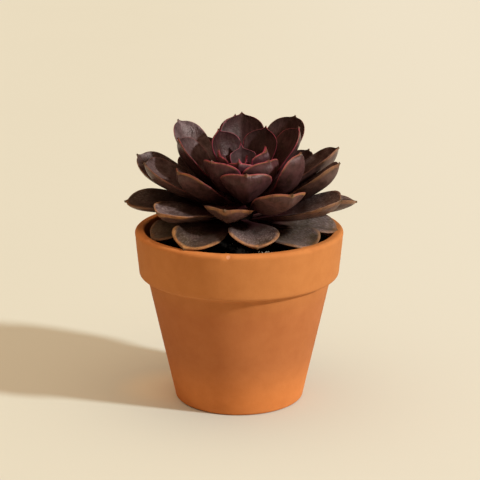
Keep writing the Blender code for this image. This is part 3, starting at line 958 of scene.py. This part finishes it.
def build_soil(material):
    """The soil's lumpy top and plain sides inside the pot, as one closed plug with a hole for the stem."""
    rim_foot = POT_HEIGHT - RIM_HEIGHT
    bottom = FLOOR_THICKNESS + GAP
    hole_floor = SOIL_CROWN_HEIGHT - STEM_HOLE_DEPTH
    top_radii = np.linspace(MOUTH_RADIUS - SOIL_EDGE_GAP, STEM_RADIUS + GAP, SOIL_RINGS)
    sections = [
        (POLE_RADIUS, bottom),
        (FLOOR_RADIUS - 2 * GAP, bottom),
        (NECK_RADIUS - WALL_THICKNESS - GAP, rim_foot + LEDGE_BOTTOM),
        (MOUTH_RADIUS - MOUTH_TAPER - GAP, rim_foot + LEDGE_TOP),
        *((r, None) for r in top_radii),
        (STEM_RADIUS + GAP, hole_floor),
        (POLE_RADIUS, hole_floor),
    ]
    vertices = []
    for r, z in sections:
        for segment in range(SOIL_SEGMENTS):
            azimuth = 2 * math.pi * segment / SOIL_SEGMENTS
            vertices.append(polar(r, azimuth, soil_height(r, azimuth) if z is None else z))
    poles = len(vertices)
    vertices += [(0.0, 0.0, bottom), (0.0, 0.0, hole_floor)]
    faces = ring_faces(len(sections), SOIL_SEGMENTS, poles, poles + 1)
    add_piece("soil_bed", vertices, faces, material, "soil")


def unit_ball():
    """Vertices and faces of a small ball of radius 1."""
    shape = bmesh.new()
    bmesh.ops.create_icosphere(shape, subdivisions=2, radius=1.0)
    ball = np.array([v.co for v in shape.verts])
    faces = [tuple(v.index for v in face.verts) for face in shape.faces]
    shape.free()
    return ball, faces


def scatter(name, count, sizes, radii, azimuths, material, seed, stretch, lift=0.0):
    """Small rough grains half sunk in the soil, or lifted over it, in one mesh."""
    draw = np.random.default_rng(seed)
    ball, ball_faces = unit_ball()
    vertices = []
    faces = []
    for number in range(count):
        r = math.sqrt(draw.uniform(radii[0] ** 2, radii[1] ** 2))
        azimuth = draw.uniform(*azimuths)
        size = draw.uniform(*sizes) * 0.5
        axes = draw.uniform(0.55, 1.0, 3)
        axes[0] *= draw.uniform(1.0, stretch)
        spin, _ = np.linalg.qr(draw.normal(size=(3, 3)))
        rough = 1 + 0.22 * np.sin(ball @ draw.normal(size=3) * 3 + draw.uniform(0, 6))
        place = np.array(polar(r, azimuth, soil_height(r, azimuth) + size * 0.25 + lift))
        vertices.append((ball * rough[:, None] * axes * size) @ spin + place)
        faces += [tuple(i + number * len(ball) for i in face) for face in ball_faces]
    piece = mesh_object(name, np.concatenate(vertices), faces, material)
    piece.data.shade_smooth()
    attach(piece, "root")


def build_crumbs(material):
    pale = perlite_material()
    scatter("soil_crumbs", CRUMBS, (0.0007, 0.0024), SOIL_BED, FULL_TURN, material, 11, 1.4)
    scatter("soil_grains", GRAINS, (0.0004, 0.0011), SOIL_BED, FULL_TURN, pale, 12, 1.3)
    scatter("soil_threads", FIBRES, (0.0002, 0.0004), FIBRE_BED, FIBRE_AZIMUTHS, pale, 13, 5.0, FIBRE_LIFT)


def build_stem():
    """The stem, with the low rings that old leaves leave on it."""
    bottom = SOIL_CROWN_HEIGHT - STEM_HOLE_DEPTH + GAP
    rings = [bottom + ROOT_POINT, *np.linspace(SOIL_CROWN_HEIGHT, STEM_LAST_RING, STEM_RINGS)]
    vertices = []
    for z in rings:
        radius = stem_radius(z) * (ROOT_SHARE if z < SOIL_CROWN_HEIGHT else 1.0)
        for segment in range(STEM_SEGMENTS):
            azimuth = 2 * math.pi * segment / STEM_SEGMENTS
            scar = SCAR_DEPTH * (1 + math.sin(z / SCAR_PITCH + 3 * azimuth)) / 2
            r = radius - (scar if z > SOIL_CROWN_HEIGHT else 0.0)
            vertices.append((axis_x(z) + r * math.cos(azimuth), r * math.sin(azimuth), z))
    poles = len(vertices)
    vertices += [(0.0, 0.0, bottom), (axis_x(STEM_TOP), 0.0, STEM_TOP)]
    faces = ring_faces(len(rings), STEM_SEGMENTS, poles, poles + 1)
    add_piece("stem_bark", vertices, faces, stem_material(), "stem")


def build_floor():
    half = FLOOR_SIZE / 2
    square = [(-half, -half, 0), (half, -half, 0), (half, half, 0), (-half, half, 0)]
    floor = mesh_object("floor", square, [(0, 1, 2, 3)], floor_material())


def aim(thing, direction):
    thing.rotation_euler = Vector(direction).to_track_quat("-Z", "Y").to_euler()


def build_light():
    """A low sun from the right."""
    azimuth = math.radians(SUN_AZIMUTH)
    height = math.radians(SUN_HEIGHT)
    to_sun = polar(math.cos(height), azimuth, math.sin(height))
    sun = bpy.data.lights.new("sun", "SUN")
    sun.energy = SUN_STRENGTH
    sun.angle = math.radians(SUN_ANGLE)
    sun.color = SUN_COLOR
    sun_object = bpy.data.objects.new("sun", sun)
    aim(sun_object, -to_sun)
    bpy.context.scene.collection.objects.link(sun_object)


def build_world():
    """A warm dome, bright overhead and dim near the horizon, which is not seen in reflections."""
    world = bpy.data.worlds.new("studio")
    bpy.context.scene.world = world
    world.use_nodes = True
    world.cycles_visibility.glossy = False
    tree = world.node_tree
    direction = tree.nodes.new("ShaderNodeTexCoord").outputs["Generated"]
    height = calculate(tree, "MAXIMUM", coordinate(tree, direction, "Z"), 0.0)
    overhead = calculate(tree, "POWER", height, DOME_POWER)
    strength = total(tree, product(tree, overhead, DOME_HIGH - DOME_LOW), DOME_LOW)
    dome = tree.nodes["Background"]
    connect(tree, DOME_COLOR, dome.inputs["Color"])
    connect(tree, strength, dome.inputs["Strength"])


def build_camera():
    camera = bpy.data.cameras.new("camera")
    camera.lens = CAMERA_LENS
    camera.sensor_width = SENSOR_WIDTH
    camera.clip_start = 0.01
    camera.clip_end = 100.0
    eye = bpy.data.objects.new("camera", camera)
    pitch = math.radians(CAMERA_PITCH)
    view = Vector((0.0, math.cos(pitch), -math.sin(pitch)))
    eye.location = Vector(CAMERA_TARGET) - view * CAMERA_DISTANCE
    aim(eye, view)
    bpy.context.scene.collection.objects.link(eye)
    bpy.context.scene.camera = eye


build_camera()
build_world()
build_light()
build_floor()
build_pot()
soil = soil_material()
build_soil(soil)
build_crumbs(soil)
build_stem()
leaf_skin = leaf_material()
build_leaves(leaf_skin)
build_heart(leaf_skin)
bpy.context.scene.view_settings.view_transform = "Standard"
